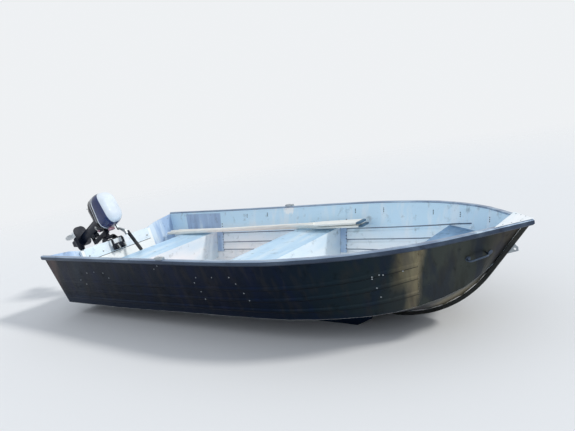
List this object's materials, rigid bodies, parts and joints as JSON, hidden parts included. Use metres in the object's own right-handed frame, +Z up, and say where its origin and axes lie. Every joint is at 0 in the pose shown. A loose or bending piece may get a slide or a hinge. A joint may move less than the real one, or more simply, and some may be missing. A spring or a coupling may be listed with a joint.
{
  "type": "open aluminium rowing boat with a tilted outboard motor and oars",
  "caption": "Open riveted aluminium rowing boat with ribbed sides, box thwarts, a raked transom carrying a tilted outboard motor, rowlock sockets and stowed oars.",
  "frame": {"origin": "amidships on the centreline, at the underside of the keel bar", "axes": "+X towards the bow, +Y to port, +Z up"},
  "size_m": [4.9207, 1.6758, 1.0198],
  "materials": {
    "hull_alloy": "weathered, brushed by wear",
    "rail_alloy": "extruded, dull",
    "inner_alloy": "bare, worn pale",
    "pad_wood": "painted plywood",
    "floor_wood": "grey weathered plywood",
    "fitting_alloy": "cast, satin",
    "oar_paint": "white paint over wood",
    "oar_tip": "blue paint over wood",
    "cowl": "pale gloss",
    "pan": "blue paint",
    "leg_paint": "dark grey blue paint",
    "prop_alloy": "bare, satin",
    "zinc": "zinc plated",
    "engine": "cast",
    "grip": "moulded"
  },
  "bodies": {
    "hull": {"aft_knee_port": "inner_alloy", "aft_knee_starboard": "inner_alloy", "aft_thwart": "inner_alloy", "bilge_runner_port": "hull_alloy", "bilge_runner_starboard": "hull_alloy", "bottom_plate_port": "hull_alloy", "bottom_plate_starboard": "hull_alloy", "bow_eye": "fitting_alloy", "bow_handle_port": "fitting_alloy", "bow_handle_starboard": "fitting_alloy", "bow_plate_port": "hull_alloy", "bow_plate_starboard": "hull_alloy", "bow_seat": "inner_alloy", "breasthook": "rail_alloy", "clamp_bracket": "leg_paint", "clamp_screws": "zinc", "floor_frames": "inner_alloy", "floorboard": "floor_wood", "gunwale_rail_port": "rail_alloy", "gunwale_rail_starboard": "rail_alloy", "keel_stem_bar": "hull_alloy", "mid_knee_port": "inner_alloy", "mid_knee_starboard": "inner_alloy", "mid_thwart": "inner_alloy", "oar_band_inner": "oar_tip", "oar_band_outer": "oar_tip", "oar_inner": "oar_paint", "oar_outer": "oar_paint", "rowlock_socket_port": "fitting_alloy", "rowlock_socket_starboard": "fitting_alloy", "side_plate_port": "hull_alloy", "side_plate_starboard": "hull_alloy", "tilt_pin": "zinc", "transom_cap": "inner_alloy", "transom_pad_inner": "pad_wood", "transom_pad_outer": "pad_wood", "transom_plate": "inner_alloy"},
    "swivel": {"swivel_bracket": "leg_paint"},
    "motor": {"steering_yoke": "leg_paint", "leg": "leg_paint", "gearcase": "leg_paint", "cowl_pan": "pan", "engine_block": "engine", "upper_cowl": "cowl", "tiller_bracket": "leg_paint"},
    "propeller": {"propeller": "prop_alloy"},
    "tiller": {"tiller_arm": "leg_paint", "tiller_grip": "grip"}
  },
  "joints": [
    {"name": "motor_tilt", "type": "hinge", "parent": "hull", "child": "swivel", "pos_m": [-2.1402, -0.03, 0.54917], "axis": [0, 1, 0], "range_deg": [-63, 0]},
    {"name": "motor_steer", "type": "hinge", "parent": "swivel", "child": "motor", "pos_m": [-2.16744, -0.03, 0.60263], "axis": [0.891, 0, 0.454], "range_deg": [-40, 40]},
    {"name": "propeller_spin", "type": "hinge", "parent": "motor", "child": "propeller", "pos_m": [-2.74545, -0.03, 0.56962], "axis": [0.454, 0, -0.891], "continuous": true},
    {"name": "tiller_fold", "type": "hinge", "parent": "motor", "child": "tiller", "pos_m": [-1.95613, 0.09, 0.57337], "axis": [0, -1, 0], "range_deg": [0, 70]}
  ]
}
